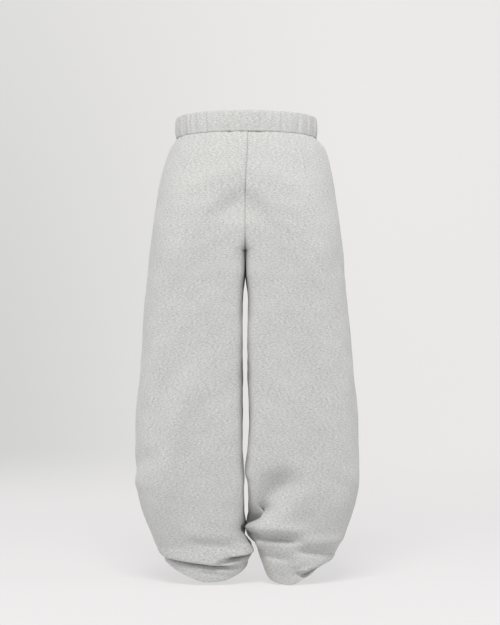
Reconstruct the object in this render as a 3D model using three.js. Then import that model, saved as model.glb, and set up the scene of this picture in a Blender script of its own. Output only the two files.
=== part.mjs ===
// Wide barrel-leg sweatpants in heavy marl fleece, held in the shape they have when worn.
// Millimetres, +Z up. The wearer's left is +X and the back is +Y.
// The origin is the centre of the waistband, half way up it.
// Each leg is a front and a back panel, cut as walls of cloth between the side seam and the
// inseam, and above the crotch between the side seam and the centre seam.
import * as THREE from 'three';

// Driving dimensions

const WAIST_HEIGHT = 1085; // middle of the waistband above the floor
const BAND_HEIGHT = 50;
const BAND_HALF_WIDTH = 166;
const BAND_HALF_DEPTH = 116;
const BAND_THICKNESS = 5.5; // elastic with the cloth folded over both faces
const BAND_GATHERS = 30;
const GATHER_RISE = 1.3;
const WAIST_TILT = 0.07; // the waist rises towards the back, mm per mm
const WAIST_TILT_FADES = { from: 1060, to: 880 };

const CLOTH = 2.2;
const HEM_TURN = 25; // the cloth is double this far up from the edge
const HEM_THICKNESS = 2 * CLOTH;
const SEAM_GAP = 0.36;
const CROTCH_HEIGHT = 786;
const PANEL_TOP = WAIST_HEIGHT - BAND_HEIGHT / 2 - 0.3;

const MARL_GREY = 0xc9c9c6;
const BAND_GREY = 0xc6c6c2;

// Sections of each leg at heights above the floor. Outer and inner are distances from the
// middle of the garment. Above the crotch inner is past the middle, and the centre seam cuts
// the section off there.
const COLUMNS = ['height', 'outer', 'inner', 'front', 'back'];
const SECTIONS = {
  left: [
    [1060, 167, -167, 117, 117],
    [1034, 184, -184, 117, 122],
    [986, 200, -199, 116, 130],
    [938, 211, -176, 113, 136],
    [900, 217, -132, 112, 135],
    [866, 223, -87, 111, 132],
    [826, 228, -23, 110, 127.5],
    [800, 231, -4, 110, 125],
    [CROTCH_HEIGHT, 233, 3.1, 110, 123.5],
    [768, 235, 3.1, 110, 121.5],
    [738, 238, 3.2, 109, 119],
    [718, 240, 5.5, 109, 117],
    [700, 242, 7.5, 108, 115],
    [673, 244, 9, 108, 113],
    [577, 250, 10, 107, 107],
    [480, 259, 10, 109, 103],
    [384, 266, 10, 112, 102],
    [300, 267, 9, 112, 101],
    [239, 267, 6, 110, 99],
    [215, 263, 7, 108, 98],
    [191, 258, 7, 106, 96],
    [143, 243, 7, 102, 92],
    [120, 233, 5, 100, 90],
    [105, 226, 1, 99, 88],
    [95, 221, -10, 98, 87],
    [84, 212, -17, 97, 85.5],
    [72, 204.5, -17.5, 96, 84],
    [50, 196.5, -10, 95, 81],
    [30, 191, -2, 95, 79],
    [0, 186, 8, 95, 76],
  ],
  right: [
    [1060, 167, -167, 117, 117],
    [1034, 190, -190, 117, 122],
    [986, 203, -201, 116, 130],
    [938, 211, -179, 113, 136],
    [900, 217, -137, 112, 135],
    [866, 223, -92, 111, 132],
    [826, 228, -28.5, 110, 127.5],
    [800, 231, -9.5, 110, 125],
    [CROTCH_HEIGHT, 233, -2.4, 110, 123.5],
    [768, 234.5, -2.4, 110, 121.5],
    [738, 236, -2.3, 109, 119],
    [718, 238, -0.2, 109, 117],
    [700, 239.5, 2, 108, 115],
    [673, 241, 4, 108, 113],
    [577, 251, 3, 107, 107],
    [480, 261, 4, 109, 103],
    [384, 268, 7, 112, 102],
    [300, 270, 1, 112, 101],
    [262, 271, -3, 111, 100],
    [239, 271, 3, 110, 99],
    [191, 264, 5.5, 106, 96],
    [160, 255, 5.5, 103, 93],
    [148, 251.5, 2.5, 102, 92],
    [131, 246, 0, 100, 91],
    [119, 241.5, 0, 99, 89.5],
    [107, 236, 3.2, 98.5, 88.5],
    [95, 229.5, 12.2, 98, 87],
    [83, 221, 24, 97, 86],
    [68, 211, 29, 96, 84],
    [47, 196, 36, 95, 81],
    [30, 185, 42, 95, 79],
    [0, 172, 52, 95, 76],
  ],
};

// Exponent of the sections on the outer and the inner side of a leg, by height: 2 is an
// ellipse, more is squarer. The cloth lies flat right up to the inseam.
const ROUNDNESS = {
  columns: ['height', 'outer', 'inner'],
  rows: [
    [1060, 2.1, 2.1],
    [940, 2.4, 4.4],
    [866, 2.5, 8],
    [200, 2.5, 8],
    [120, 2.5, 4.4],
    [0, 2.4, 2.8],
  ],
};

// Where the centre seam runs, left of the middle
const CENTRE_SEAM = {
  columns: ['height', 'across'],
  rows: [
    [1060, -3.5],
    [938, 1.5],
    [866, 3],
    [CROTCH_HEIGHT, 2.7],
  ],
};

// How high the hem's edge runs above the floor, by angle round the leg: 0 is the outer side,
// 90 the middle of the back, 180 the inseam and -90 the front
const HEMLINE_COLUMNS = ['angle', 'rise'];
const HEMLINES = {
  left: [
    [-180, 70], [-145, 84], [-90, 90], [-40, 76], [0, 49], [25, 44], [49, 28], [71, 13],
    [92, 4], [115, 7], [141, 27], [160, 49],
  ],
  right: [
    [-180, 34], [-135, 66], [-90, 86], [-45, 74], [0, 44], [30, 36], [60, 18], [80, 5],
    [95, -2], [120, 0], [150, 10], [168, 24],
  ],
};
const HEMLINE_FADES = { from: 0, to: 300 };

// How far each side seam is turned towards the back, degrees
const SIDE_SEAM_TURN = { left: -4, right: 15 };
const SIDE_SEAM_TURNS = { from: 1040, to: 860 };

// Folds. Each runs from one angle and height to another, bowed up in its middle, with a width
// at each end. The cloth swells above the line, tucks in below it, and hangs down by the drop.
const FOLD_COLUMNS = [
  'leg', 'angle1', 'height1', 'angle2', 'height2', 'bow', 'width1', 'width2',
  'swell', 'tuck', 'drop',
];
const FOLDS = [
  ['left', -12, 80, 142, 42, 0, 12, 11, 6, 12, 11],
  ['left', 92, 56, 238, 128, 1, 9, 18, 6, 14, 8],
  ['left', 66, 112, 152, 92, 2, 15, 12, 2, 4, 2],
  ['left', 138, 142, 226, 122, 0, 10, 14, 3, 9, 2],
  ['left', 0, 234, 66, 296, 0, 20, 22, -4, -3, 0],
  ['left', 86, 580, 42, 120, 0, 22, 20, -3, -9, 0],
  ['left', 74, 955, 156, 955, 0, 60, 60, 4, 13, 1],
  ['left', -160, 128, -20, 112, 0, 15, 15, 6, 8, 11],
  ['left', -150, 190, -30, 164, 0, 22, 20, 4, 6, 5],
  ['left', -100, 280, -20, 230, 0, 28, 24, 3, 5, 2],
  ['right', 72, 112, 180, 131, 2, 12, 14, 5, 13, 2],
  ['right', 6, 92, 104, 96, -6, 12, 15, 4, 9, 2],
  ['right', 88, 270, 140, 92, 0, 26, 22, -22, -6, 0],
  ['right', 112, 178, 174, 120, 0, 13, 13, -14, -6, 0],
  ['right', 92, 68, 158, 94, -6, 11, 12, 1, 4, 1],
  ['right', 56, 18, 94, 42, 0, 8, 8, 1, 2, 1],
  ['right', -4, 76, 98, 26, -5, 12, 11, 3, 6, 3],
  ['right', -165, 124, -30, 112, 0, 15, 15, 6, 8, 11],
  ['right', -140, 186, -30, 160, 0, 22, 20, 4, 6, 5],
  ['right', -110, 260, -40, 300, 0, 28, 24, 3, 5, 2],
  ['right', 84, 955, 156, 955, 0, 60, 60, 4, 13, 1],
  ['left', 128, 54, 236, 98, 1, 12, 18, 0, 6, 0],
  ['right', 0, 46, 80, 4, -4, 16, 12, 0, 12, 0],
];
const MM_PER_DEGREE = 1.9;
const FOLD_FADE = 0.3; // share of a fold's length over which each end fades
const UNDERCUT = 1.5; // a tuck comes out again this much more sharply than it goes in
const FOLD_HANG = 0.3; // the cloth drops most this far above the line, in fold widths

// Rows of a panel, from the waistband down: each zone ends at a height
const ROW_ZONES = [
  { to: CROTCH_HEIGHT, rows: 12, crowding: 1.8 },
  { to: 735, rows: 3, crowding: 1 },
  { to: 480, rows: 4, crowding: 1 },
  { to: 290, rows: 4, crowding: 1 },
  { to: 130, rows: 10, crowding: 1 },
  { to: 0, rows: 22, crowding: 1 },
];
const PANEL_COLUMNS = 16;

// Above the crotch the last columns crowd together within this angle of the centre seam, and
// spread out again up to this height
const CROWDED_ANGLE = 0.2;
const CROWDED_UP_TO = 890;

// Steps over which the directions of the cloth are measured
const ANGLE_STEP = 0.01;
const HEIGHT_STEP = 0.4;

const rad = THREE.MathUtils.degToRad;
const named = (columns, rows) =>
  rows.map((row) => Object.fromEntries(columns.map((name, i) => [name, row[i]])));
const fade = (value, from, to) =>
  THREE.MathUtils.smoothstep((value - from) / (to - from), 0, 1);

// A smooth curve through one column of a table, with no overshoot between its rows
function curveThrough(rows, column, along = 'height') {
  const points = rows.map((r) => [r[along], r[column]]).sort((p, q) => p[0] - q[0]);
  const slopes = points.slice(1).map((p, i) => (p[1] - points[i][1]) / (p[0] - points[i][0]));
  const tangents = points.map((_, i) => {
    const before = slopes[i - 1];
    const after = slopes[i];
    if (before === undefined) return after;
    if (after === undefined) return before;
    return before * after <= 0 ? 0 : (2 * before * after) / (before + after);
  });
  return (where) => {
    const w = THREE.MathUtils.clamp(where, points[0][0], points.at(-1)[0]);
    const i = Math.max(points.findIndex((p) => p[0] >= w) - 1, 0);
    const [w0, v0] = points[i];
    const [w1, v1] = points[i + 1];
    const span = w1 - w0;
    const t = (w - w0) / span;
    const start = (1 + 2 * t) * (1 - t) ** 2 * v0 + t * (1 - t) ** 2 * span * tangents[i];
    const end = t * t * (3 - 2 * t) * v1 + t * t * (t - 1) * span * tangents[i + 1];
    return start + end;
  };
}

const sectionCurves = {};
for (const leg of ['left', 'right']) {
  const rows = named(COLUMNS, SECTIONS[leg]);
  sectionCurves[leg] = Object.fromEntries(
    COLUMNS.slice(1).map((column) => [column, curveThrough(rows, column)]),
  );
}
const roundnessRows = named(ROUNDNESS.columns, ROUNDNESS.rows);
const roundness = {
  outer: curveThrough(roundnessRows, 'outer'),
  inner: curveThrough(roundnessRows, 'inner'),
};
const centreSeam = curveThrough(named(CENTRE_SEAM.columns, CENTRE_SEAM.rows), 'across');
const hemlines = {};
for (const leg of ['left', 'right']) {
  const rows = named(HEMLINE_COLUMNS, HEMLINES[leg]);
  const turns = [-360, 0, 360];
  const ring = turns.flatMap((turn) => rows.map((r) => ({ ...r, angle: r.angle + turn })));
  hemlines[leg] = curveThrough(ring, 'rise', 'angle');
}
const folds = named(FOLD_COLUMNS, FOLDS);

function sectionAt(leg, height) {
  const values = Object.entries(sectionCurves[leg]).map(([name, curve]) => [name, curve(height)]);
  return Object.fromEntries(values);
}

// The centre seam as a distance outwards from the middle, for that leg
const seamOutwards = (leg, height) => centreSeam(height) * (leg === 'left' ? 1 : -1);

// The angle at which a section meets the centre seam, or half a turn below the crotch
function innerAngle(leg, height) {
  if (height <= CROTCH_HEIGHT) return Math.PI;
  const s = sectionAt(leg, height);
  const middle = (s.outer + s.inner) / 2;
  const across = (seamOutwards(leg, height) - middle) / ((s.outer - s.inner) / 2);
  const k = THREE.MathUtils.clamp(across, -1, 1);
  const power = roundness.inner(height);
  return Math.atan2((1 - Math.abs(k) ** power) ** (1 / power), k);
}

// The way that a fold moves the cloth at an angle and height
function foldedBy(fold, degrees, height) {
  const turn = THREE.MathUtils.euclideanModulo(degrees - fold.angle1 + 180, 360) - 180;
  const run = (fold.angle2 - fold.angle1) * MM_PER_DEGREE;
  const rise = fold.height2 - fold.height1;
  const length = Math.hypot(run, rise);
  const x = turn * MM_PER_DEGREE;
  const y = height - fold.height1;
  const along = (x * run + y * rise) / length / length;
  const bow = fold.bow * 4 * along * (1 - along);
  const width = THREE.MathUtils.lerp(fold.width1, fold.width2, THREE.MathUtils.clamp(along, 0, 1));
  const side = run < 0 ? -1 : 1;
  const above = ((side * (y * run - x * rise)) / length - bow) / width;
  const far = fold.tuck > 0 ? UNDERCUT : 1 / UNDERCUT;
  const below = above < -1 ? (above + 1) * far : above + 1;
  const strength = fade(along, 0, FOLD_FADE) * fade(1 - along, 0, FOLD_FADE);
  const bell = (t) => Math.exp(-t * t);
  return {
    out: strength * (fold.swell * bell(above - 1) - fold.tuck * bell(below)),
    down: strength * fold.drop * bell(above - FOLD_HANG),
  };
}

// A point of the cloth's outer face: angle round the leg in radians, height above the floor
function clothPoint(leg, angle, height) {
  const degrees = THREE.MathUtils.radToDeg(angle);
  const lift = hemlines[leg](degrees) * fade(height, HEMLINE_FADES.to, HEMLINE_FADES.from);
  const level = height + lift;
  const s = sectionAt(leg, level);
  const half = { across: (s.outer - s.inner) / 2, deep: Math.sin(angle) < 0 ? s.front : s.back };
  const c = Math.cos(angle);
  const d = Math.sin(angle);
  const power = c < 0 ? roundness.inner(level) : roundness.outer(level);
  const reach = (Math.abs(c) ** power + Math.abs(d) ** power) ** (-1 / power);
  const out = new THREE.Vector2(
    (Math.sign(c) * Math.abs(reach * c) ** (power - 1)) / half.across,
    (Math.sign(d) * Math.abs(reach * d) ** (power - 1)) / half.deep,
  ).normalize();
  let across = (s.outer + s.inner) / 2 + half.across * reach * c;
  let deep = half.deep * reach * d;
  let z = level + WAIST_TILT * deep * fade(level, WAIST_TILT_FADES.to, WAIST_TILT_FADES.from);
  for (const fold of folds) {
    if (fold.leg !== leg) continue;
    const moved = foldedBy(fold, degrees, level);
    across += out.x * moved.out;
    deep += out.y * moved.out;
    z -= moved.down;
  }
  return new THREE.Vector3(across * (leg === 'left' ? 1 : -1), deep, z - WAIST_HEIGHT);
}

// The direction round the leg and the outward normal of the cloth
function clothFrame(leg, angle, height) {
  const around = clothPoint(leg, angle + ANGLE_STEP, height);
  around.sub(clothPoint(leg, angle - ANGLE_STEP, height)).normalize();
  const up = clothPoint(leg, angle, height + HEIGHT_STEP);
  up.sub(clothPoint(leg, angle, height - HEIGHT_STEP));
  const normal = new THREE.Vector3().crossVectors(around, up).normalize();
  return { around, normal: leg === 'left' ? normal : normal.negate() };
}

// Columns run from 0 at the side seam to 1 at the inseam or centre seam
function columnAngle(leg, face, share, height) {
  const turned = fade(height, SIDE_SEAM_TURNS.from, SIDE_SEAM_TURNS.to);
  const way = face === 'back' ? 1 : -1;
  const start = way * rad(SIDE_SEAM_TURN[leg]) * turned;
  const end = innerAngle(leg, height);
  const apart = fade(height, CROTCH_HEIGHT, CROWDED_UP_TO);
  const spread = THREE.MathUtils.lerp(Math.PI, end, apart);
  const angle = THREE.MathUtils.lerp(start, spread, share);
  const knee = end - CROWDED_ANGLE;
  if (angle <= knee) return way * angle;
  return way * (knee + ((angle - knee) * CROWDED_ANGLE) / (spread - knee));
}

// At the inner edge above the crotch the normal lies in the plane of the centre seam
function centreNormal(leg, face, height) {
  const seamPoint = (h) => clothPoint(leg, columnAngle(leg, face, 1, h), h);
  const up = seamPoint(Math.min(height + HEIGHT_STEP, PANEL_TOP));
  up.sub(seamPoint(Math.max(height - HEIGHT_STEP, CROTCH_HEIGHT)));
  const normal = new THREE.Vector3(0, up.z, -up.y).normalize();
  return face === 'back' ? normal : normal.negate();
}

function rowHeights() {
  const heights = [PANEL_TOP];
  for (const zone of ROW_ZONES) {
    const from = heights.at(-1);
    for (let i = 1; i <= zone.rows; i++) {
      const share = 1 - (1 - i / zone.rows) ** zone.crowding;
      heights.push(from + (zone.to - from) * share);
    }
  }
  return heights;
}

// The outer and the inner point of the wall at one column and row of a panel
function wallPoints(leg, face, column, height) {
  const angle = columnAngle(leg, face, column / PANEL_COLUMNS, height);
  const outer = clothPoint(leg, angle, height);
  const frame = clothFrame(leg, angle, height);
  const sideways = leg === 'left' ? 1 : -1;
  const backwards = face === 'back' ? 1 : -1;
  let normal = frame.normal;
  const trim = SEAM_GAP / 2;
  if (column === 0) outer.addScaledVector(frame.around, trim * backwards);
  if (column === PANEL_COLUMNS) {
    if (height < CROTCH_HEIGHT) outer.addScaledVector(frame.around, -trim * backwards);
    else outer.x = centreSeam(height) + trim * sideways;
    if (height > CROTCH_HEIGHT) normal = centreNormal(leg, face, height);
    if (height === CROTCH_HEIGHT) {
      outer.y += trim * backwards;
      normal = new THREE.Vector3(-sideways, 0, -1).normalize();
    }
  }
  const thickness = height < HEM_TURN ? HEM_THICKNESS : CLOTH;
  return { outer, inner: outer.clone().addScaledVector(normal, -thickness) };
}

function closedMesh(name, positions, faces, colour) {
  const geometry = new THREE.BufferGeometry();
  geometry.setAttribute('position', new THREE.Float32BufferAttribute(positions.flat(), 3));
  geometry.setIndex(faces.flat());
  geometry.computeVertexNormals();
  const material = new THREE.MeshStandardMaterial({ color: colour, roughness: 0.95 });
  const mesh = new THREE.Mesh(geometry, material);
  mesh.name = name;
  return mesh;
}

// A wall of cloth: the outer grid, the inner grid and the four edges between them
function panel(leg, face) {
  const heights = rowHeights();
  const perRow = PANEL_COLUMNS + 1;
  const positions = [];
  for (const side of ['outer', 'inner']) {
    for (const height of heights) {
      for (let column = 0; column <= PANEL_COLUMNS; column++) {
        positions.push(wallPoints(leg, face, column, height)[side].toArray());
      }
    }
  }
  const inward = heights.length * perRow;
  const at = (row, column) => row * perRow + column;
  const faces = [];
  const quad = (a, b, c, d) => faces.push([a, b, c], [a, c, d]);
  const last = heights.length - 1;
  for (let r = 0; r < last; r++) {
    for (let c = 0; c < PANEL_COLUMNS; c++) {
      const [a, b, d, e] = [at(r, c), at(r, c + 1), at(r + 1, c + 1), at(r + 1, c)];
      quad(a, b, d, e);
      quad(inward + a, inward + e, inward + d, inward + b);
    }
    quad(at(r, 0), at(r + 1, 0), inward + at(r + 1, 0), inward + at(r, 0));
    const edge = [at(r, PANEL_COLUMNS), at(r + 1, PANEL_COLUMNS)];
    quad(edge[1], edge[0], inward + edge[0], inward + edge[1]);
  }
  for (let c = 0; c < PANEL_COLUMNS; c++) {
    quad(at(0, c + 1), at(0, c), inward + at(0, c), inward + at(0, c + 1));
    quad(at(last, c), at(last, c + 1), inward + at(last, c + 1), inward + at(last, c));
  }
  const facesOut = (leg === 'left') !== (face === 'back');
  const outwards = facesOut ? faces : faces.map((f) => [f[0], f[2], f[1]]);
  return closedMesh(`${leg}_${face}_panel`, positions, outwards, MARL_GREY);
}

// The waistband: an elastic in a folded strip of the cloth, gathered on its outer face
function waistband() {
  const around = BAND_GATHERS * 6;
  const outside = BAND_THICKNESS / 2;
  const profile = [
    { out: -outside, up: -1, gathered: 0 },
    { out: outside - 1, up: -1, gathered: 0 },
    { out: outside, up: -0.9, gathered: 0.5 },
    { out: outside + 0.4, up: 0, gathered: 1 },
    { out: outside, up: 0.9, gathered: 0.5 },
    { out: outside - 1, up: 1, gathered: 0 },
    { out: -outside, up: 1, gathered: 0 },
  ];
  const positions = [];
  for (let i = 0; i < around; i++) {
    const angle = (i / around) * 2 * Math.PI;
    const gather = GATHER_RISE * Math.cos(BAND_GATHERS * angle);
    for (const p of profile) {
      const out = p.out + gather * p.gathered;
      const deep = (BAND_HALF_DEPTH + out) * Math.sin(angle);
      const across = (BAND_HALF_WIDTH + out) * Math.cos(angle);
      positions.push([across, deep, (p.up * BAND_HEIGHT) / 2 + WAIST_TILT * deep]);
    }
  }
  const faces = [];
  const count = profile.length;
  for (let i = 0; i < around; i++) {
    for (let j = 0; j < count; j++) {
      const next = (i + 1) % around;
      const above = (j + 1) % count;
      const [a, b] = [i * count + j, next * count + j];
      const [c, d] = [next * count + above, i * count + above];
      faces.push([a, b, c], [a, c, d]);
    }
  }
  return closedMesh('waistband', positions, faces, BAND_GREY);
}

const garment = new THREE.Group();
garment.add(waistband());
for (const leg of ['left', 'right']) {
  for (const face of ['back', 'front']) garment.add(panel(leg, face));
}

export default garment;
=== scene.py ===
# The looks of a pair of wide barrel-leg sweatpants in light grey marl fleece, in worn form.
# Lengths are in millimetres until a mesh is made, which is in metres.
# The wearer's left is +X, the back is +Y, and the origin is the middle of the waistband.
import math

import bpy
import numpy as np
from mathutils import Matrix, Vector


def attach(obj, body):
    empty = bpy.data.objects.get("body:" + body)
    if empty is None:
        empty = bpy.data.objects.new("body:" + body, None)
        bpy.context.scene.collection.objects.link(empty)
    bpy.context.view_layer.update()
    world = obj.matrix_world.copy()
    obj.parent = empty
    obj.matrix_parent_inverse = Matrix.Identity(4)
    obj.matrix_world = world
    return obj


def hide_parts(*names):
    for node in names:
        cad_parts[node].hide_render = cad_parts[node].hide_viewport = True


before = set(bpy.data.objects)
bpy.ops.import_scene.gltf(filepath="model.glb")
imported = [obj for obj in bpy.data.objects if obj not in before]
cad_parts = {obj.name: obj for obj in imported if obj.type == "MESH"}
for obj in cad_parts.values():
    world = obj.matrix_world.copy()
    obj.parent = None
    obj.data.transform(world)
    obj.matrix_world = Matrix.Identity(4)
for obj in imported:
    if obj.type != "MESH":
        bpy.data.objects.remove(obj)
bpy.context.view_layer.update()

MM = 0.001

# The cut and the worn form, the same sizes as the solids

WAIST_HEIGHT = 1085
BAND_HEIGHT = 50
BAND_HALF_WIDTH = 166
BAND_HALF_DEPTH = 116
WAIST_TILT = 0.07
WAIST_TILT_FADES = (880, 1060)
CLOTH = 2.2
HEM_TURN = 25
CROTCH_HEIGHT = 786
WAIST_SEAM = 0.3  # between the waistband and the panels
PANEL_TOP = WAIST_HEIGHT - BAND_HEIGHT / 2 - WAIST_SEAM

# Sections of each leg at heights above the floor. Outer and inner are distances from the
# middle. Above the crotch the centre seam cuts a section off.
SECTION_COLUMNS = ("height", "outer", "inner", "front", "back")
SECTIONS = {
    "left": [
        (1060, 167, -167, 117, 117),
        (1034, 184, -184, 117, 122),
        (986, 200, -199, 116, 130),
        (938, 211, -176, 113, 136),
        (900, 217, -132, 112, 135),
        (866, 223, -87, 111, 132),
        (826, 228, -23, 110, 127.5),
        (800, 231, -4, 110, 125),
        (CROTCH_HEIGHT, 233, 3.1, 110, 123.5),
        (768, 235, 3.1, 110, 121.5),
        (738, 238, 3.2, 109, 119),
        (718, 240, 5.5, 109, 117),
        (700, 242, 7.5, 108, 115),
        (673, 244, 9, 108, 113),
        (577, 250, 10, 107, 107),
        (480, 259, 10, 109, 103),
        (384, 266, 10, 112, 102),
        (300, 267, 9, 112, 101),
        (239, 267, 6, 110, 99),
        (215, 263, 7, 108, 98),
        (191, 258, 7, 106, 96),
        (143, 243, 7, 102, 92),
        (120, 233, 5, 100, 90),
        (105, 226, 1, 99, 88),
        (95, 221, -10, 98, 87),
        (84, 212, -17, 97, 85.5),
        (72, 204.5, -17.5, 96, 84),
        (50, 196.5, -10, 95, 81),
        (30, 191, -2, 95, 79),
        (0, 186, 8, 95, 76),
    ],
    "right": [
        (1060, 167, -167, 117, 117),
        (1034, 190, -190, 117, 122),
        (986, 203, -201, 116, 130),
        (938, 211, -179, 113, 136),
        (900, 217, -137, 112, 135),
        (866, 223, -92, 111, 132),
        (826, 228, -28.5, 110, 127.5),
        (800, 231, -9.5, 110, 125),
        (CROTCH_HEIGHT, 233, -2.4, 110, 123.5),
        (768, 234.5, -2.4, 110, 121.5),
        (738, 236, -2.3, 109, 119),
        (718, 238, -0.2, 109, 117),
        (700, 239.5, 2, 108, 115),
        (673, 241, 4, 108, 113),
        (577, 251, 3, 107, 107),
        (480, 261, 4, 109, 103),
        (384, 268, 7, 112, 102),
        (300, 270, 1, 112, 101),
        (262, 271, -3, 111, 100),
        (239, 271, 3, 110, 99),
        (191, 264, 5.5, 106, 96),
        (160, 255, 5.5, 103, 93),
        (148, 251.5, 2.5, 102, 92),
        (131, 246, 0, 100, 91),
        (119, 241.5, 0, 99, 89.5),
        (107, 236, 3.2, 98.5, 88.5),
        (95, 229.5, 12.2, 98, 87),
        (83, 221, 24, 97, 86),
        (68, 211, 29, 96, 84),
        (47, 196, 36, 95, 81),
        (30, 185, 42, 95, 79),
        (0, 172, 52, 95, 76),
    ],
}

# The exponent of the sections on the outer and the inner side of a leg, by height: 2 is an
# ellipse, more is squarer. The cloth lies flat right up to the inseam.
ROUNDNESS_COLUMNS = ("height", "outer", "inner")
ROUNDNESS = [
    (1060, 2.1, 2.1),
    (940, 2.4, 4.4),
    (866, 2.5, 8),
    (200, 2.5, 8),
    (120, 2.5, 4.4),
    (0, 2.4, 2.8),
]

# Where the centre seam runs, left of the middle
CENTRE_SEAM_COLUMNS = ("height", "across")
CENTRE_SEAM = [
    (1060, -3.5),
    (938, 1.5),
    (866, 3),
    (CROTCH_HEIGHT, 2.7),
]

# How high the hem's edge runs above the floor, by angle round the leg: 0 is the outer side,
# 90 the middle of the back, 180 the inseam and -90 the front
HEMLINE_COLUMNS = ("angle", "rise")
HEMLINES = {
    "left": [
        (-180, 70), (-145, 84), (-90, 90), (-40, 76), (0, 49), (25, 44), (49, 28), (71, 13),
        (92, 4), (115, 7), (141, 27), (160, 49),
    ],
    "right": [
        (-180, 34), (-135, 66), (-90, 86), (-45, 74), (0, 44), (30, 36), (60, 18), (80, 5),
        (95, -2), (120, 0), (150, 10), (168, 24),
    ],
}
HEMLINE_FADES = (0, 300)

# How far each side seam is turned towards the back, in degrees
SIDE_SEAM_TURN = {"left": -4, "right": 15}
SIDE_SEAM_TURNS = (860, 1040)

# The main folds, those of the solids. Each runs from one angle and height to another, bowed
# up in its middle, with a width at each end. The cloth swells above the line, tucks in below
# it, and hangs down by the drop.
FOLD_COLUMNS = (
    "leg", "angle1", "height1", "angle2", "height2", "bow", "width1", "width2",
    "swell", "tuck", "drop",
)
FOLDS = [
    ("left", -12, 80, 142, 42, 0, 12, 11, 6, 12, 11),
    ("left", 92, 56, 238, 128, 1, 9, 18, 6, 14, 8),
    ("left", 66, 112, 152, 92, 2, 15, 12, 2, 4, 2),
    ("left", 138, 142, 226, 122, 0, 10, 14, 3, 9, 2),
    ("left", 0, 234, 66, 296, 0, 20, 22, -4, -3, 0),
    ("left", 86, 580, 42, 120, 0, 22, 20, -3, -9, 0),
    ("left", 74, 955, 156, 955, 0, 60, 60, 4, 13, 1),
    ("left", -160, 128, -20, 112, 0, 15, 15, 6, 8, 11),
    ("left", -150, 190, -30, 164, 0, 22, 20, 4, 6, 5),
    ("left", -100, 280, -20, 230, 0, 28, 24, 3, 5, 2),
    ("right", 72, 112, 180, 131, 2, 12, 14, 5, 13, 2),
    ("right", 6, 92, 104, 96, -6, 12, 15, 4, 9, 2),
    ("right", 88, 270, 140, 92, 0, 26, 22, -22, -6, 0),
    ("right", 112, 178, 174, 120, 0, 13, 13, -14, -6, 0),
    ("right", 92, 68, 158, 94, -6, 11, 12, 1, 4, 1),
    ("right", 56, 18, 94, 42, 0, 8, 8, 1, 2, 1),
    ("right", -4, 76, 98, 26, -5, 12, 11, 3, 6, 3),
    ("right", -165, 124, -30, 112, 0, 15, 15, 6, 8, 11),
    ("right", -140, 186, -30, 160, 0, 22, 20, 4, 6, 5),
    ("right", -110, 260, -40, 300, 0, 28, 24, 3, 5, 2),
    ("right", 84, 955, 156, 955, 0, 60, 60, 4, 13, 1),
    ("left", 128, 54, 236, 98, 1, 12, 18, 0, 6, 0),
    ("right", 0, 46, 80, 4, -4, 16, 12, 0, 12, 0),
]

# Creases that only the cloth has: shallow drag lines, the soft bands down the legs, and the
# crisp bottoms of the deepest folds above the hems
CREASES = [
    ("left", 70, 34, 128, 22, 2, 6, 6, 0.8, 1.2, 0.5),
    ("left", 108, 65, 236, 126, 1, 9, 16, 3, 8, 6),
    ("left", 118, 520, 128, 210, 0, 26, 22, 0, 1.6, 0),
    ("left", 62, 800, 54, 560, 0, 24, 22, 0, 1.4, 0),
    ("left", -40, 620, -150, 580, 8, 22, 20, 1.2, 1.8, 1),
    ("left", -30, 540, -140, 512, -6, 18, 18, 1, 1.6, 1),
    ("left", -170, 760, -110, 836, 6, 14, 20, 1.6, 2.2, 0.5),
    ("left", -172, 722, -120, 770, 5, 12, 18, 1.2, 1.8, 0.5),
    ("left", -60, 214, -130, 236, 3, 12, 12, 1.2, 1.8, 1),
    ("right", 4, 66, 86, 20, -4, 11, 8, 3, 9, 4),
    ("right", 132, 114, 188, 102, 0, 10, 11, 0, 9, 0),
    ("right", 114, 174, 186, 122, 0, 7, 9, -8, -5, 0),
    ("right", 84, 117, 184, 130, 2, 9, 11, 2, 5, 1),
    ("right", 60, 262, 20, 214, 0, 14, 16, 1.6, 1.6, 0.5),
    ("right", 66, 52, 100, 34, 2, 7, 6, 1, 1.4, 0.5),
    ("right", 50, 1010, 54, 640, 0, 20, 24, 0, 2, 0),
    ("right", 34, 500, 38, 250, 0, 20, 20, 0, 2.2, 0),
    ("right", 172, 520, 170, 380, 0, 12, 12, 0, 2, 0),
    ("right", -36, 610, -148, 640, 7, 22, 20, 1.2, 1.8, 1),
    ("right", -30, 548, -140, 530, -6, 18, 18, 1, 1.6, 1),
    ("right", -170, 764, -112, 842, 6, 14, 20, 1.6, 2.2, 0.5),
    ("right", -172, 726, -118, 766, 5, 12, 18, 1.2, 1.8, 0.5),
    ("right", -64, 222, -128, 206, 3, 12, 12, 1.2, 1.8, 1),
]
MM_PER_DEGREE = 1.9  # round a leg, for the length of a fold
FOLD_FADE = 0.3  # the share of its length in which a fold dies out at either end
LIP_DROP = 2.5  # a fold that tucks in and drops more than this has a crisp, overhanging lip

# How the swell, the tuck and the hang lie across each kind of fold: the middle over the line,
# and the widths above and below that middle, all as shares of the fold's own width
FOLD_SHAPE_COLUMNS = ("middle", "above", "below", "strength")
FOLD_SHAPES = {
    "lip": {
        "swell": (0.5, 1.2, 0.55, 1),
        "tuck": (-0.45, 0.4, 0.75, 1.7),
        "hang": (0.3, 1.1, 0.5, 1),
    },
    "undercut": {
        "swell": (1, 1, 1, 1),
        "tuck": (-1, 1, 1 / 1.5, 1),
        "hang": (0.3, 1, 1, 1),
    },
    "reversed": {
        "swell": (1, 1, 1, 1),
        "tuck": (-1, 1, 1.5, 1),
        "hang": (0.3, 1, 1, 1),
    },
}

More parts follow.
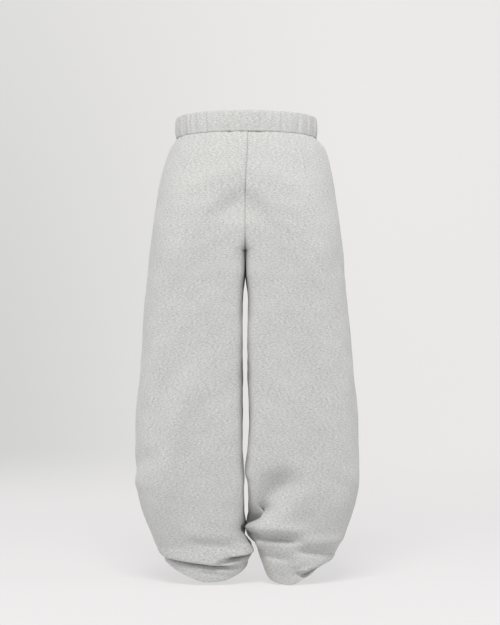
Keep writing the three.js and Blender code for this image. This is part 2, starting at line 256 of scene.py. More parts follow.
# Small gathers where the cloth is drawn onto the elastic: angle round the waist from the
# left side through the back, width, depth and how far down each one reaches
GATHER_COLUMNS = ("angle", "width", "depth", "reach")
GATHERS = [
    (12, 9, 1.6, 60), (26, 11, 1.9, 85), (41, 8, 1.4, 50), (53, 10, 2.1, 90),
    (66, 8, 1.5, 60), (77, 9, 2.4, 120), (86, 7, 2.2, 70), (94, 8, 1.6, 60),
    (101, 10, 2.6, 140), (113, 8, 1.5, 60), (125, 11, 1.9, 80), (139, 9, 2.2, 110),
    (152, 9, 1.5, 60), (167, 10, 1.8, 70), (182, 9, 1.5, 60), (196, 10, 1.8, 80),
    (209, 8, 1.6, 60), (221, 11, 2.1, 100), (236, 9, 1.6, 70), (248, 8, 1.9, 80),
    (259, 9, 1.5, 60), (268, 8, 2.1, 90), (279, 9, 1.7, 70), (291, 10, 2.0, 90),
    (303, 8, 1.5, 60), (316, 11, 1.9, 80), (330, 9, 1.6, 60), (345, 10, 1.8, 70),
]
WAIST_MM_PER_DEGREE = 2.4

# The slow unevenness of worn fleece: waves round each leg and down it, these by radians for
# each unit of height
WAVE_COLUMNS = ("around", "down", "phase", "depth")
WAVES = [
    (3, 2.1, 0.4, 0.8), (5, -3.3, 2.0, 0.6), (7, 5.2, 4.1, 0.45), (11, -8.6, 1.2, 0.3),
]
WAVE_UNIT = 100
WAVES_GROW = {"waistband": 120, "hem": 60}  # how far from each the waves are in full

# Sewing

SEAM_GAP = 0.16  # between two panels
SEAM_DIP = 1.0
SEAM_DIP_WIDTH = 2.6
CENTRE_DIP = 2.6  # of the centre seam, by the crotch
CENTRE_DIP_TOP = 3  # and by the waistband
CENTRE_DIP_CHANGES = (830, 1040)
CENTRE_DIP_WIDTH = 1.7
HEM_ROWS = (20.5, 25.5)  # heights above the edge of the two rows of stitches
HEM_ROW_DIP = 0.5
HEM_ROW_DIP_WIDTH = 1.3
HEM_STEP = 1.5  # height in which the wall thins above the turned cloth
ROPING = {
    "depth": 0.35, "length": 9, "height": 11, "width": 8, "wander": 2, "wander_length": 31,
}
STITCH = {"length": 2.7, "spacing": 3.4, "radius": 0.32, "sides": 6, "proud": 0.1}

# A stitch from end to end: shares of its length, of its radius, and of its radius again for
# how deep its middle lies
STITCH_PROFILE_COLUMNS = ("along", "swell", "sunk")
STITCH_PROFILE = [
    (-0.5, 0.25, 0.5),
    (-0.3, 0.85, 0.12),
    (0, 1, 0),
    (0.3, 0.85, 0.12),
    (0.5, 0.25, 0.5),
]

# The waistband's gathers, and how they stray from even steps: count, rise and phase of each wave
BAND_GATHERS = 30
BAND_GATHER_RISE = 1.3
BAND_FINE_GATHERS = ((61, 0.75, 1.1), (97, 0.4, 2.6), (43, 0.55, 0.3), (19, 0.3, 0.9))
BAND_WANDER = ((3, 0.22 / 6, 0.6), (7, 0.12 / 6, 0))

# The waistband in section, round its wall: the share of its half height, the distance out
# from its middle, and how much of the gathers shows. One row of stitches draws it in.
BAND_PROFILE_COLUMNS = ("up", "out", "gathered")
BAND_STITCH_ROW = (-0.76, 2.3, 0.45)
BAND_PROFILE = [
    (-1, -2.0, 0), (-1, 0, 0), (-0.985, 1.2, 0.15), (-0.94, 2.2, 0.4), (-0.86, 2.6, 0.6),
    BAND_STITCH_ROW, (-0.66, 2.7, 0.7), (-0.45, 3.1, 0.95), (-0.2, 3.3, 1), (0.05, 3.3, 1),
    (0.3, 3.2, 1), (0.55, 3.0, 0.9), (0.75, 2.8, 0.75), (0.9, 2.4, 0.5), (0.97, 1.6, 0.3),
    (1, 0, 0.1), (0.97, -1.8, 0), (0.85, -2.6, 0), (0.4, -2.75, 0), (0, -2.75, 0),
    (-0.4, -2.75, 0), (-0.85, -2.6, 0),
]

# Mesh steps

COLUMNS = 84
SHARE_SAMPLES = 120
EDGE_STEPS = (0.5, 1.4, 2.6, 4.2)  # distances from a seam of the closer columns there
ROW_STEPS = [
    # from this height down to the next, about this far apart
    (PANEL_TOP, 5),
    (880, 5),
    (800, 2.5),
    (770, 5),
    (300, 4),
    (150, 1.7),
    (32, 1),
    (14, 1.8),
]

# The last rows of a panel, and how far the hem's edge is rounded off at each
HEM_EDGE_COLUMNS = ("height", "rounding")
HEM_EDGE = [
    (1.5, 0),
    (0.5, 0.35),
    (0, 1.3),
]

# Above the crotch the last columns crowd together within this angle of the centre seam, and
# spread out again up to this height
CROWDED_ANGLE = 0.2
CROWDED_UP_TO = 890

BAND_STEPS = 480  # round the waistband
BAND_PATTERN = 20  # mm of the marl's pattern for each unit along the waistband's profile

# Small steps that measure the slope of the cloth: angles in radians, and a height
ANGLE_STEP = 0.006
BAND_ANGLE_STEP = 0.004
HEIGHT_STEP = 0.3

# Colours and patterns of the cloth

# A fleck of marl yarn is about 3 by 1 mm. It is drawn about twice as coarse to show.
FLECK_SIZE = (6.2, 1.7)
FLECK_SLANT = 0.12
# Bands of paler and darker yarn, one cone after another, some 35 mm deep
YARN_BAND_SIZE = (90, 34)
YARN_BAND_SHARE = 0.07  # how much the bands of yarn count beside the flecks
MARL_MIDDLE = 0.5 + YARN_BAND_SHARE / 2
# The nap: fibre ends about 0.4 mm apart, drawn three to four times as coarse to show
NAP_SIZE = (1.8, 1.4)
FLECK_RISE = 0.6  # how much the flecks stand out beside the nap

# The two faces of the fleece. The spread is the noise to either side of its middle that turns
# the mid colour into the light and the dark one. The nap's depth is in mm.
FLEECES = {
    "face": {
        "name": "marl_fleece_face",
        "light": "#CACAC9",
        "mid": "#B5B5B3",
        "dark": "#959594",
        "spread": 0.175,
        "nap_depth": 0.5,
        "fuzz": 0.25,
    },
    "brushed": {
        "name": "marl_fleece_brushed_back",
        "light": "#E4E4E1",
        "mid": "#D6D6D3",
        "dark": "#C2C2BF",
        "spread": 0.3,
        "nap_depth": 0.9,
        "fuzz": 0.4,
    },
}

# Stage, light and camera

FLOOR = -(WAIST_HEIGHT + 3)  # just under the lowest point of the hems
SWEEP = {
    "behind": 2600, "radius": 1500, "steps": 24, "height": 4200, "front": 6500,
    "half_width": 6000,
}

# Where the painted shade on the paper changes, in metres from the middle of the waist: darker
# across towards the wearer's left, from the floor to the foot of the wall, and up the wall,
# where less and less of the painted shade across is left
PAINTED_SHADE_ACROSS = {"From Min": -0.6, "From Max": 1.5}
PAPER_FOOT = {"From Min": -1.085, "From Max": -0.9}
PAINTED_SHADE_UP = {"From Min": -0.9, "From Max": 1.1, "To Min": 1, "To Max": 0.4}

LIGHT_COLUMNS = ("name", "place", "target", "width", "height", "watts", "colour")
LIGHTS = [
    ("overhead_softbox", (120, 2300, 2800), (0, 0, -450), 1900, 1200, 142, "#FFFEFB"),
    ("front_softbox", (800, 4800, 600), (0, 0, -600), 2000, 2000, 46, "#FCFDFF"),
    ("left_reflector", (1900, 500, -830), (0, 0, -880), 1200, 480, 8, "#FFFFFF"),
    ("right_reflector", (-2300, 400, -500), (0, 0, -700), 1200, 2000, 18, "#FBFCFF"),
]
AIR = {"Color": "#F3F6FA", "Strength": 0.36}
CAMERA = {"across": -8.4, "away": 4200, "height": 643, "lens": 100.4, "sensor": 36}


def smooth(value, low, high):
    """A smooth step from 0 at the low value to 1 at the high one."""
    t = np.clip((value - low) / (high - low), 0, 1)
    return t * t * (3 - 2 * t)


def bell(value):
    return np.exp(-value * value)


def skewed_bell(value, above, below):
    """A bell with one width above its middle and another below."""
    return bell(np.where(value > 0, value / above, value / below))


def columns_of(rows, names):
    """The columns of a table, by name."""
    return dict(zip(names, np.array(rows, float).T))


def curve_through(x, y):
    """A smooth curve through some points, with no overshoot between them."""
    slopes = np.diff(y) / np.diff(x)
    tangents = np.concatenate([slopes[:1], np.zeros(len(x) - 2), slopes[-1:]])
    for i in range(1, len(x) - 1):
        before, after = slopes[i - 1], slopes[i]
        if before * after > 0:
            tangents[i] = 2 * before * after / (before + after)

    def value_at(where):
        place = np.clip(where, x[0], x[-1])
        i = np.clip(np.searchsorted(x, place) - 1, 0, len(x) - 2)
        span = x[i + 1] - x[i]
        t = (place - x[i]) / span
        start = (1 + 2 * t) * (1 - t) ** 2 * y[i] + t * (1 - t) ** 2 * span * tangents[i]
        end = t * t * (3 - 2 * t) * y[i + 1] + t * t * (t - 1) * span * tangents[i + 1]
        return start + end

    return value_at


def curves_through(rows, names):
    """A smooth curve through each further column of a table, over its first one."""
    table = columns_of(sorted(rows), names)
    return {name: curve_through(table[names[0]], table[name]) for name in names[1:]}


def ring_of(rows):
    """The rows of a table by angle, repeated a turn to either side."""
    return [(angle + turn, rise) for turn in (-360, 0, 360) for angle, rise in rows]


section_curves = {leg: curves_through(rows, SECTION_COLUMNS) for leg, rows in SECTIONS.items()}
roundness = curves_through(ROUNDNESS, ROUNDNESS_COLUMNS)
centre_seam = curves_through(CENTRE_SEAM, CENTRE_SEAM_COLUMNS)["across"]
hemlines = {
    leg: curves_through(ring_of(rows), HEMLINE_COLUMNS)["rise"] for leg, rows in HEMLINES.items()
}
folds = [dict(zip(FOLD_COLUMNS, row)) for row in FOLDS + CREASES]
gathers = [dict(zip(GATHER_COLUMNS, row)) for row in GATHERS]
waves = [dict(zip(WAVE_COLUMNS, row)) for row in WAVES]


def sideways(leg):
    """The sign of X on the side of a leg."""
    return 1 if leg == "left" else -1


def section_at(leg, height):
    """The four sizes of a leg's section at a height."""
    return {name: curve(height) for name, curve in section_curves[leg].items()}


def inner_angle(leg, height):
    """The angle at which a section meets the centre seam, or half a turn below the crotch."""
    section = section_at(leg, height)
    middle = (section["outer"] + section["inner"]) / 2
    half = (section["outer"] - section["inner"]) / 2
    across = np.clip((centre_seam(height) * sideways(leg) - middle) / half, -1, 1)
    power = roundness["inner"](height)
    angle = np.arctan2((1 - np.abs(across) ** power) ** (1 / power), across)
    return np.where(height <= CROTCH_HEIGHT, np.pi, angle)


def fold_kind(fold):
    """A fold is reversed if its cloth doesn't tuck in below the line."""
    if fold["tuck"] <= 0:
        return "reversed"
    return "lip" if fold["drop"] > LIP_DROP else "undercut"


def across_fold(shape, above):
    """How strong a fold's swell, tuck or hang is, by the distance above its line."""
    part = dict(zip(FOLD_SHAPE_COLUMNS, shape))
    return part["strength"] * skewed_bell(above - part["middle"], part["above"], part["below"])


def folded_by(fold, degrees, level):
    """How far a fold moves the cloth out and down at an angle and level."""
    turn = np.mod(degrees - fold["angle1"] + 180, 360) - 180
    run = (fold["angle2"] - fold["angle1"]) * MM_PER_DEGREE
    rise = fold["height2"] - fold["height1"]
    length = math.hypot(run, rise)
    x = turn * MM_PER_DEGREE
    y = level - fold["height1"]
    along = (x * run + y * rise) / length / length
    bow = fold["bow"] * 4 * along * (1 - along)
    width = fold["width1"] + (fold["width2"] - fold["width1"]) * np.clip(along, 0, 1)
    side = -1 if run < 0 else 1
    above = (side * (y * run - x * rise) / length - bow) / width
    strength = smooth(along, 0, FOLD_FADE) * smooth(1 - along, 0, FOLD_FADE)
    shapes = FOLD_SHAPES[fold_kind(fold)]
    out = fold["swell"] * across_fold(shapes["swell"], above)
    out = out - fold["tuck"] * across_fold(shapes["tuck"], above)
    down = fold["drop"] * across_fold(shapes["hang"], above)
    return strength * out, strength * down


def gathered_by(across, deep, level):
    """How far the gathers below the waistband draw the cloth in."""
    around = np.degrees(np.arctan2(deep / BAND_HALF_DEPTH, across / BAND_HALF_WIDTH))
    depth = np.zeros_like(around)
    for gather in gathers:
        turn = np.mod(around - gather["angle"] + 180, 360) - 180
        reach = smooth(level, PANEL_TOP - gather["reach"], PANEL_TOP)
        depth += gather["depth"] * reach * bell(turn * WAIST_MM_PER_DEGREE / gather["width"])
    return depth


def waved_by(angle, level, height):
    """The slow unevenness of the cloth, which fades out by the waistband and the hem."""
    total = np.zeros_like(angle)
    for wave in waves:
        phase = wave["around"] * angle + wave["down"] * level / WAVE_UNIT + wave["phase"]
        total += wave["depth"] * np.sin(phase)
    below_band = smooth(PANEL_TOP - level, 0, WAVES_GROW["waistband"])
    return total * below_band * smooth(height, 0, WAVES_GROW["hem"])


def cloth_point(leg, angle, height):
    """A point of the cloth's outer face: angle round the leg, and height up the cloth."""
    angle, height = np.broadcast_arrays(np.asarray(angle, float), np.asarray(height, float))
    degrees = np.degrees(angle)
    lift = hemlines[leg](degrees) * (1 - smooth(height, *HEMLINE_FADES))
    level = height + lift
    section = section_at(leg, level)
    half = (section["outer"] - section["inner"]) / 2
    cosine = np.cos(angle)
    sine = np.sin(angle)
    depth = np.where(sine < 0, section["front"], section["back"])
    power = np.where(cosine < 0, roundness["inner"](level), roundness["outer"](level))
    reach = (np.abs(cosine) ** power + np.abs(sine) ** power) ** (-1 / power)
    out_x = np.sign(cosine) * np.abs(reach * cosine) ** (power - 1) / half
    out_y = np.sign(sine) * np.abs(reach * sine) ** (power - 1) / depth
    size = np.hypot(out_x, out_y)
    across = (section["outer"] + section["inner"]) / 2 + half * reach * cosine
    deep = depth * reach * sine
    z = level + WAIST_TILT * deep * smooth(level, *WAIST_TILT_FADES)
    out = waved_by(angle, level, height)
    out -= gathered_by(across * sideways(leg), deep, level)
    for fold in folds:
        if fold["leg"] == leg:
            moved_out, moved_down = folded_by(fold, degrees, level)
            out = out + moved_out
            z = z - moved_down
    across = across + out * out_x / size
    deep = deep + out * out_y / size
    return np.stack([across * sideways(leg), deep, z - WAIST_HEIGHT], -1)


def unit(vectors):
    return vectors / np.linalg.norm(vectors, axis=-1, keepdims=True)


def cloth_frame(leg, angle, height):
    """The direction round the leg and the outward normal of the cloth."""
    around = cloth_point(leg, angle + ANGLE_STEP, height)
    around = unit(around - cloth_point(leg, angle - ANGLE_STEP, height))
    up = cloth_point(leg, angle, height + HEIGHT_STEP)
    up = up - cloth_point(leg, angle, height - HEIGHT_STEP)
    return around, unit(np.cross(around, up)) * sideways(leg)


def column_angle(leg, face, share, height):
    """Columns run from 0 at the side seam to 1 at the inseam or centre seam."""
    way = 1 if face == "back" else -1
    start = way * math.radians(SIDE_SEAM_TURN[leg]) * (1 - smooth(height, *SIDE_SEAM_TURNS))
    end = inner_angle(leg, height)
    spread = np.pi + (end - np.pi) * smooth(height, CROTCH_HEIGHT, CROWDED_UP_TO)
    angle = start + (spread - start) * share
    knee = end - CROWDED_ANGLE
    crowded = knee + (angle - knee) * CROWDED_ANGLE / (spread - knee)
    return way * np.where(angle > knee, crowded, angle)


def distances(leg, face, shares, height):
    """The distance of each column from the side seam along its row."""
    points = cloth_point(leg, column_angle(leg, face, shares, height), height)
    steps = np.linalg.norm(np.diff(points, axis=1), axis=-1)
    return np.concatenate([np.zeros((len(steps), 1)), np.cumsum(steps, axis=1)], axis=1)


def panel_rows():
    """Heights of the rows of a panel from the waistband to the hem's rounded edge."""
    heights = []
    edge = list(columns_of(HEM_EDGE, HEM_EDGE_COLUMNS)["height"])
    ends = [start for start, _ in ROW_STEPS[1:]] + edge[:1]
    for (start, step), end in zip(ROW_STEPS, ends):
        count = max(round((start - end) / step), 1)
        heights += list(np.linspace(start, end, count, endpoint=False))
    return np.array(heights + edge)


def panel_shares(leg, face, heights):
    """Column shares of each row, closer together beside the seams."""
    share = np.linspace(0, 1, SHARE_SAMPLES + 1)[None, :] + 0 * heights[:, None]
    along = distances(leg, face, share, heights[:, None])
    first = SHARE_SAMPLES * along[:, 1:2]
    last = SHARE_SAMPLES * (along[:, -1:] - along[:, -2:-1])
    start, end = EDGE_STEPS[-1] / first, 1 - EDGE_STEPS[-1] / last
    middle = start + (end - start) * np.linspace(0, 1, COLUMNS + 1)[None, :]
    steps = np.array((0,) + EDGE_STEPS[:-1])[None, :]
    return np.concatenate([steps / first, middle, 1 - steps[:, ::-1] / last], axis=1)


def hem_relief(distance, height):
    """How far the stitches of the hem draw the outer face in, with the roping below them."""
    rows = sum(bell((height - row) / HEM_ROW_DIP_WIDTH) for row in HEM_ROWS)
    wander = ROPING["wander"] * np.sin(distance / ROPING["wander_length"])
    ripple = np.sin(distance * 2 * np.pi / ROPING["length"] + wander)
    roped = bell((height - ROPING["height"]) / ROPING["width"]) * ROPING["depth"]
    return rows * HEM_ROW_DIP - roped * ripple


def seam_dip(along, height):
    """How far the cloth is drawn in beside the seams at a panel's two edges."""
    from_edge = np.minimum(along, along[:, -1:] - along)
    change = smooth(height, *CENTRE_DIP_CHANGES)
    centre_dip = CENTRE_DIP + (CENTRE_DIP_TOP - CENTRE_DIP) * change
    by_centre = (along > along[:, -1:] / 2) & (height > CROTCH_HEIGHT)
    return np.where(
        by_centre, centre_dip * bell(from_edge / CENTRE_DIP_WIDTH),
        SEAM_DIP * bell(from_edge / SEAM_DIP_WIDTH),
    )


def panel_layer(leg, face, heights, shares, along, depth):
    """Points of a panel at a depth into the wall from the outer face."""
    height = heights[:, None] + 0 * shares
    angle = column_angle(leg, face, shares, height)
    points = cloth_point(leg, angle, height)
    around, normal = cloth_frame(leg, angle, height)
    backwards = 1 if face == "back" else -1
    trim = SEAM_GAP / 2
    points[:, 0] += around[:, 0] * trim * backwards
    below = heights < CROTCH_HEIGHT
    points[below, -1] -= around[below, -1] * trim * backwards
    centre = centre_seam(heights[~below]) + trim * sideways(leg)
    points[~below, -1, 0] = centre
    along_seam = np.gradient(points[:, -1], axis=0)
    in_plane = np.stack([0 * heights, along_seam[:, 2], -along_seam[:, 1]], -1)
    seam_normal = unit(in_plane) * backwards
    seam_normal *= np.sign(along_seam[:, 2:3]) * np.ones(3)
    above = heights > CROTCH_HEIGHT
    normal[above, -1] = seam_normal[above]
    dip = seam_dip(along, height) + hem_relief(along, height) * (depth[:, None] < CLOTH)
    return points - normal * (depth[:, None] + dip)[..., None]


def wall_depths(heights):
    """The inner face's depth: double cloth up to the hem's turned edge."""
    return CLOTH * (2 - smooth(heights, HEM_TURN, HEM_TURN + HEM_STEP))


def mesh_object(name, vertices, faces, materials, uvs=None, material_index=None):
    """A smooth mesh object in metres from points in millimetres."""
    mesh = bpy.data.meshes.new(name)
    mesh.from_pydata((vertices * MM).tolist(), [], faces.tolist())
    for material in materials:
        mesh.materials.append(material)
    mesh.polygons.foreach_set("use_smooth", np.ones(len(faces), bool))
    if material_index is not None:
        mesh.polygons.foreach_set("material_index", material_index)
    if uvs is not None:
        layer = mesh.uv_layers.new(name="cloth_metres")
        corners = np.array(faces).ravel()
        layer.data.foreach_set("uv", (uvs[corners] * MM).ravel())
    mesh.validate()
    mesh.update()
    obj = bpy.data.objects.new(name, mesh)
    bpy.context.scene.collection.objects.link(obj)
    return obj


def grid_faces(rows, columns, closed):
    """Quads of a grid of rows by columns, its last row joined to its first if closed."""
    r = np.arange(rows if closed else rows - 1)[:, None]
    c = np.arange(columns - 1)[None, :]
    below = (r + 1) % rows
    corners = [r * columns + c, r * columns + c + 1, below * columns + c + 1]
    corners.append(below * columns + c)
    return np.stack(corners, -1).reshape(-1, 4)


def panel(leg, face, materials):
    """One panel of cloth: a closed thin wall with a rounded, turned hem."""
    heights = panel_rows()
    shares = panel_shares(leg, face, heights)
    along = distances(leg, face, shares, heights[:, None])
    inner_depth = wall_depths(heights)
    rounding = np.zeros(len(heights))
    rounding[-len(HEM_EDGE):] = columns_of(HEM_EDGE, HEM_EDGE_COLUMNS)["rounding"]
    outer = panel_layer(leg, face, heights, shares, along, rounding)
    inner = panel_layer(leg, face, heights, shares, along, inner_depth - rounding)
    rows, columns = shares.shape
    points = np.concatenate([outer, inner[::-1]])
    faces = grid_faces(2 * rows, columns, closed=True)
    row = np.arange(rows - 1)
    ends = []
    for column, turned in ((0, False), (columns - 1, True)):
        loop = [row, row + 1, 2 * rows - 2 - row, 2 * rows - 1 - row]
        quad = np.stack([corner * columns + column for corner in loop], -1)
        ends.append(quad[:, ::-1] if turned else quad)
    faces = np.concatenate([faces] + ends)
    inside = np.zeros(len(faces), int)
    inside[rows * (columns - 1):] = 1
    if (leg == "left") == (face == "back"):
        faces = faces[:, ::-1]
    length = np.concatenate([along, along[::-1]])
    up = np.concatenate([heights, heights[::-1]])[:, None] + 0 * length
    uvs = np.stack([length, up], -1).reshape(-1, 2)
    name = f"{leg}_{face}_cloth"
    return mesh_object(name, points.reshape(-1, 3), faces, materials, uvs, inside)


def stitches(name, places, along, normals, material):
    """A row of short thread stitches, each a small spindle lying along the seam."""
    sides = STITCH["sides"]
    profile = columns_of(STITCH_PROFILE, STITCH_PROFILE_COLUMNS)
    stations = profile["along"] * STITCH["length"]
    swell = profile["swell"] * STITCH["radius"]
    sunk = profile["sunk"] * STITCH["radius"]
    turn = np.arange(sides) / sides * 2 * np.pi
    across = np.cross(along, normals)
    centre = places[:, None] + along[:, None] * stations[None, :, None]
    centre = centre + normals[:, None] * (STITCH["proud"] - sunk)[None, :, None]
    ring = np.cos(turn)[None, None, :, None] * across[:, None, None]
    ring = ring + np.sin(turn)[None, None, :, None] * normals[:, None, None]
    points = centre[:, :, None] + ring * swell[None, :, None, None]
    rings = len(stations)
    one_stitch = []
    for start in range(0, (rings - 1) * sides, sides):
        for side in range(sides):
            after = (side + 1) % sides
            quad = [start + side, start + after, start + sides + after, start + sides + side]
            one_stitch.append(quad)
    offsets = np.arange(len(places))[:, None, None] * rings * sides
    quads = (np.array(one_stitch)[None] + offsets).reshape(-1, 4)
    return mesh_object(name, points.reshape(-1, 3), quads, [material])


def hem_stitches(leg, face, material):
    """Two rows of stitches round the part of the hem that lies in this panel."""
    places, along, normals = [], [], []
    for row in HEM_ROWS:
        share = np.linspace(0, 1, SHARE_SAMPLES + 1)[None, :]
        length = distances(leg, face, share, np.array([[row]]))[0, -1]
        count = int(length / STITCH["spacing"])
        share = (np.arange(count) + 0.5) / count
        angle = column_angle(leg, face, share, row)
        point = cloth_point(leg, angle, row)
        around, normal = cloth_frame(leg, angle, row)
        relief = hem_relief(share * length, np.full(count, row))
        places.append(point - normal * relief[:, None])
        along.append(around)
        normals.append(normal)
    parts = [np.concatenate(part) for part in (places, along, normals)]
    return stitches(f"{leg}_{face}_hem_stitches", *parts, material)


def band_point(angle, up, out):
    """A point of the waistband: angle round it, share of its half height, and distance out."""
    deep = (BAND_HALF_DEPTH + out) * np.sin(angle)
    across = (BAND_HALF_WIDTH + out) * np.cos(angle)
    z = up * BAND_HEIGHT / 2 + WAIST_TILT * deep
    return np.stack([across, deep, z], -1)


def band_gather(angle, out_share):
    """How far the gathers of the waistband stand out."""
    wander = sum(rise * np.sin(count * angle + phase) for count, rise, phase in BAND_WANDER)
    total = BAND_GATHER_RISE * np.cos(BAND_GATHERS * (angle + wander))
    for count, rise, phase in BAND_FINE_GATHERS:
        total = total + rise * np.cos(count * angle + phase)
    return total * out_share


def waistband(materials):
    """The elastic in its folded casing, gathered on the outer face."""
    profile = columns_of(BAND_PROFILE, BAND_PROFILE_COLUMNS)
    angle = np.arange(BAND_STEPS + 1) / BAND_STEPS * 2 * np.pi
    up = profile["up"][:, None] + 0 * angle
    out = profile["out"][:, None] + band_gather(angle[None, :], profile["gathered"][:, None])
    points = band_point(angle[None, :] + 0 * up, up, out).reshape(-1, 3)
    faces = grid_faces(len(BAND_PROFILE), BAND_STEPS + 1, closed=True)[:, ::-1]
    around = angle * (BAND_HALF_WIDTH + BAND_HALF_DEPTH) / 2
    steps = np.hypot(np.diff(profile["up"]), np.diff(profile["out"]))
    along = np.concatenate([[0], np.cumsum(steps)]) * BAND_PATTERN
    uvs = np.stack([around[None, :] + 0 * up, along[:, None] + 0 * up], -1).reshape(-1, 2)
    return mesh_object("waistband_cloth", points, faces, materials, uvs)


def band_stitches(material):
    """One row of stitches low on the waistband, which holds the elastic in its casing."""
    girth = 2 * np.pi * math.sqrt((BAND_HALF_WIDTH**2 + BAND_HALF_DEPTH**2) / 2)
    count = int(girth / STITCH["spacing"])
    angle = np.arange(count) / count * 2 * np.pi
    up, out, gathered = BAND_STITCH_ROW
    places = band_point(angle, up, out + band_gather(angle, gathered))
    ahead = angle + BAND_ANGLE_STEP
    along = unit(band_point(ahead, up, out + band_gather(ahead, gathered)) - places)
    normals = unit(np.cross(along, np.array([0, 0, 1.0])))
    return stitches("waistband_stitches", places, along, normals, material)


# Materials


def linear(hex_colour, alpha=1.0):
    """An sRGB hex colour as linear numbers."""
    parts = [int(hex_colour[i:i + 2], 16) / 255 for i in (1, 3, 5)]
    turned = [p / 12.92 if p <= 0.04045 else ((p + 0.055) / 1.055) ** 2.4 for p in parts]
    return (*turned, alpha)


def add_node(tree, kind, settings=None, links=None):
    """Adds a node. Settings are attributes or input values, links are inputs fed by sockets."""
    node = tree.nodes.new(kind)
    for name, value in (settings or {}).items():
        if isinstance(name, str) and hasattr(node, name):
            setattr(node, name, value)
        else:
            node.inputs[name].default_value = value
    for name, socket in (links or {}).items():
        tree.links.new(socket, node.inputs[name])
    return node


def new_material(name):
    material = bpy.data.materials.new(name)
    material.use_nodes = True
    tree = material.node_tree
    tree.nodes.clear()
    return material, tree


def knit_noise(tree, size, slant, settings):
    """Noise along the cloth, of a real size in mm along the knitted courses and up them."""
    place = add_node(tree, "ShaderNodeTexCoord").outputs["UV"]
    scale = (1 / (size[0] * MM), 1 / (size[1] * MM), 1)
    spread = add_node(
        tree, "ShaderNodeMapping", {"Scale": scale, "Rotation": (0, 0, slant)}, {"Vector": place}
    )
    noise = add_node(
        tree, "ShaderNodeTexNoise", {"Scale": 1.0, **settings},
        {"Vector": spread.outputs["Vector"]},
    )
    return noise.outputs["Fac"]


def marl_fleece(name, light, mid, dark, spread, nap_depth, fuzz):
    """Cotton fleece knitted from marl yarn. Dark and light fibres spun into one yarn give short
    flecks that lie along the knitted courses, and the soft matt face has a faint fuzz."""
    material, tree = new_material(name)
    flecks = knit_noise(
        tree, FLECK_SIZE, FLECK_SLANT, {"Detail": 3.0, "Roughness": 0.72, "Distortion": 0.25}
    )
    bands = knit_noise(tree, YARN_BAND_SIZE, 0, {"Detail": 2.0, "Roughness": 0.5})
    nap = knit_noise(tree, NAP_SIZE, 0, {"Detail": 4.0, "Roughness": 0.7})
    mixed = add_node(
        tree, "ShaderNodeMath", {"operation": "MULTIPLY_ADD", 1: YARN_BAND_SHARE},
        {0: bands, 2: flecks},
    )
    ramp = add_node(tree, "ShaderNodeValToRGB", {}, {"Fac": mixed.outputs[0]})
    stops = ramp.color_ramp.elements
    stops[0].position = MARL_MIDDLE - spread
    stops[0].color = linear(dark)
    stops[1].position = MARL_MIDDLE + spread
    stops[1].color = linear(light)
    stops.new(MARL_MIDDLE).color = linear(mid)
    raised = add_node(
        tree, "ShaderNodeMath", {"operation": "MULTIPLY_ADD", 1: FLECK_RISE}, {0: flecks, 2: nap}
    )
    bump = add_node(
        tree, "ShaderNodeBump", {"Strength": 0.5, "Distance": nap_depth * MM},
        {"Height": raised.outputs[0]},
    )
    shader = add_node(
        tree, "ShaderNodeBsdfPrincipled",
        {
            "Roughness": 0.96,
            "Specular IOR Level": 0.18,
            "Sheen Weight": fuzz,
            "Sheen Roughness": 0.55,
            "Sheen Tint": linear("#F4F4F2"),
        },
        {"Base Color": ramp.outputs["Color"], "Normal": bump.outputs["Normal"]},
    )
    add_node(tree, "ShaderNodeOutputMaterial", {}, {"Surface": shader.outputs["BSDF"]})
    return material


def spun_thread():
    """Spun polyester sewing thread, twisted: a pale grey with a soft gleam along it."""
    material, tree = new_material("spun_polyester_thread")
    place = add_node(tree, "ShaderNodeTexCoord").outputs["Object"]
    twist = add_node(
        tree, "ShaderNodeTexNoise", {"Scale": 900.0, "Detail": 2.0}, {"Vector": place}
    )
    ramp = add_node(tree, "ShaderNodeValToRGB", {}, {"Fac": twist.outputs["Fac"]})
    ramp.color_ramp.elements[0].color = linear("#B4B4B1")
    ramp.color_ramp.elements[1].color = linear("#CFCFCC")
    shader = add_node(
        tree, "ShaderNodeBsdfPrincipled",
        {"Roughness": 0.6, "Specular IOR Level": 0.35},
        {"Base Color": ramp.outputs["Color"]},
    )
    add_node(tree, "ShaderNodeOutputMaterial", {}, {"Surface": shader.outputs["BSDF"]})
    return material


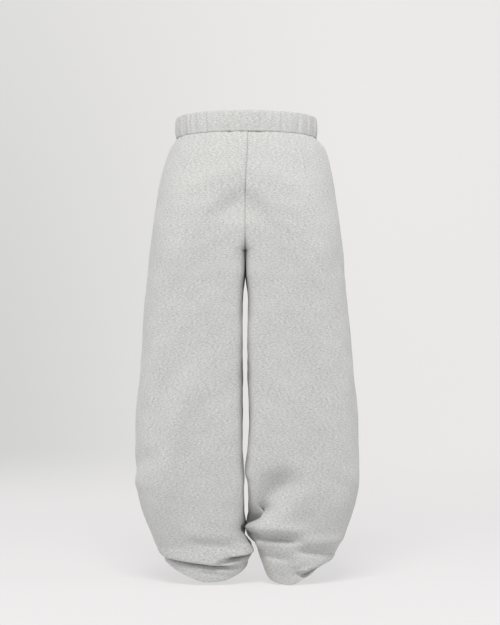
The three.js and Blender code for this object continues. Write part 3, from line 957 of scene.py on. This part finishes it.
def studio_paper():
    """Seamless matt background paper, with painted shade that darkens it towards the wearer's
    left.
    It is lit from all round in the studio, which a painted glow of its own stands in for, so
    that shadows on it stay faint."""
    material, tree = new_material("seamless_paper")
    place = add_node(tree, "ShaderNodeTexCoord").outputs["Object"]
    split = add_node(tree, "ShaderNodeSeparateXYZ", {}, {"Vector": place})
    across = add_node(
        tree, "ShaderNodeMapRange",
        {"interpolation_type": "SMOOTHSTEP", **PAINTED_SHADE_ACROSS}, {"Value": split.outputs["X"]},
    )
    foot = add_node(
        tree, "ShaderNodeMapRange",
        {"interpolation_type": "SMOOTHSTEP", **PAPER_FOOT}, {"Value": split.outputs["Z"]},
    )
    up = add_node(tree, "ShaderNodeMapRange", PAINTED_SHADE_UP, {"Value": split.outputs["Z"]})
    shaded = add_node(
        tree, "ShaderNodeMath", {"operation": "MULTIPLY"},
        {0: across.outputs["Result"], 1: up.outputs["Result"]},
    )
    # The wall's grey is painted shade: darker towards the wearer's left, and less so higher up
    wall = add_node(tree, "ShaderNodeValToRGB", {}, {"Fac": shaded.outputs[0]})
    wall.color_ramp.elements[0].color = linear("#848382")
    wall.color_ramp.elements[1].color = linear("#717271")
    colour = add_node(
        tree, "ShaderNodeMix", {"data_type": "RGBA", 6: linear("#828181")},
        {0: foot.outputs["Result"], 7: wall.outputs["Color"]},
    ).outputs[2]
    # The paper glows with its own colour: painted light that stands in for the studio's light
    # from all round
    shader = add_node(
        tree, "ShaderNodeBsdfPrincipled",
        {"Roughness": 1.0, "Specular IOR Level": 0.1, "Emission Strength": 2.6},
        {"Base Color": colour, "Emission Color": colour},
    )
    add_node(tree, "ShaderNodeOutputMaterial", {}, {"Surface": shader.outputs["BSDF"]})
    return material


# The studio


def studio_sweep(material):
    """Floor and backdrop as one sheet of paper with a wide curve between them."""
    line = [(SWEEP["front"], 0)]
    start = -(SWEEP["behind"] - SWEEP["radius"])
    for i in range(SWEEP["steps"] + 1):
        turn = i / SWEEP["steps"] * np.pi / 2
        y = start - SWEEP["radius"] * math.sin(turn)
        line.append((y, SWEEP["radius"] * (1 - math.cos(turn))))
    line.append((-SWEEP["behind"], SWEEP["height"]))
    points = []
    for y, z in line:
        for x in (-SWEEP["half_width"], SWEEP["half_width"]):
            points.append((x, y, z + FLOOR))
    faces = grid_faces(len(line), 2, closed=False)
    return mesh_object("studio_sweep", np.array(points, float), faces, [material])


def area_light(name, place, target, width, height, watts, colour):
    """A soft rectangular light at a place, aimed at a target."""
    data = bpy.data.lights.new(name, "AREA")
    data.shape = "RECTANGLE"
    data.size = width * MM
    data.size_y = height * MM
    data.energy = watts
    data.color = linear(colour)[:3]
    obj = bpy.data.objects.new(name, data)
    obj.location = Vector(place) * MM
    aim = Vector(target) * MM - obj.location
    obj.rotation_euler = aim.to_track_quat("-Z", "Y").to_euler()
    bpy.context.scene.collection.objects.link(obj)
    return obj


def studio_light():
    """A softbox overhead and one behind the camera, a weak reflector on either side, and pale
    air."""
    for row in LIGHTS:
        area_light(**dict(zip(LIGHT_COLUMNS, row)))
    world = bpy.data.worlds.new("pale_air")
    world.use_nodes = True
    background = world.node_tree.nodes["Background"]
    background.inputs["Color"].default_value = linear(AIR["Color"])
    background.inputs["Strength"].default_value = AIR["Strength"]
    bpy.context.scene.world = world


def studio_camera():
    """The photograph's view: level, square on to the back, at the height of the thighs."""
    data = bpy.data.cameras.new("camera")
    data.lens = CAMERA["lens"]
    data.sensor_width = CAMERA["sensor"]
    data.clip_end = 100
    obj = bpy.data.objects.new("camera", data)
    place = (CAMERA["across"], CAMERA["away"], CAMERA["height"] - WAIST_HEIGHT)
    obj.location = Vector(place) * MM
    obj.rotation_euler = (math.pi / 2, 0, math.pi)
    bpy.context.scene.collection.objects.link(obj)
    bpy.context.scene.camera = obj


# The garment, put together


def dress():
    """Every piece of the garment with its material, each on the solid that it dresses."""
    face = marl_fleece(**FLEECES["face"])
    brushed = marl_fleece(**FLEECES["brushed"])
    thread = spun_thread()
    for leg in ("left", "right"):
        for side in ("back", "front"):
            cloth = panel(leg, side, [face, brushed])
            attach(cloth, "root")
            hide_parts(f"{leg}_{side}_panel")
            sewing = hem_stitches(leg, side, thread)
            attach(sewing, "root")
    band = waistband([face])
    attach(band, "root")
    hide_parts("waistband")
    sewing = band_stitches(thread)
    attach(sewing, "root")


dress()
studio_sweep(studio_paper())
studio_light()
studio_camera()
bpy.context.scene.view_settings.view_transform = "Standard"
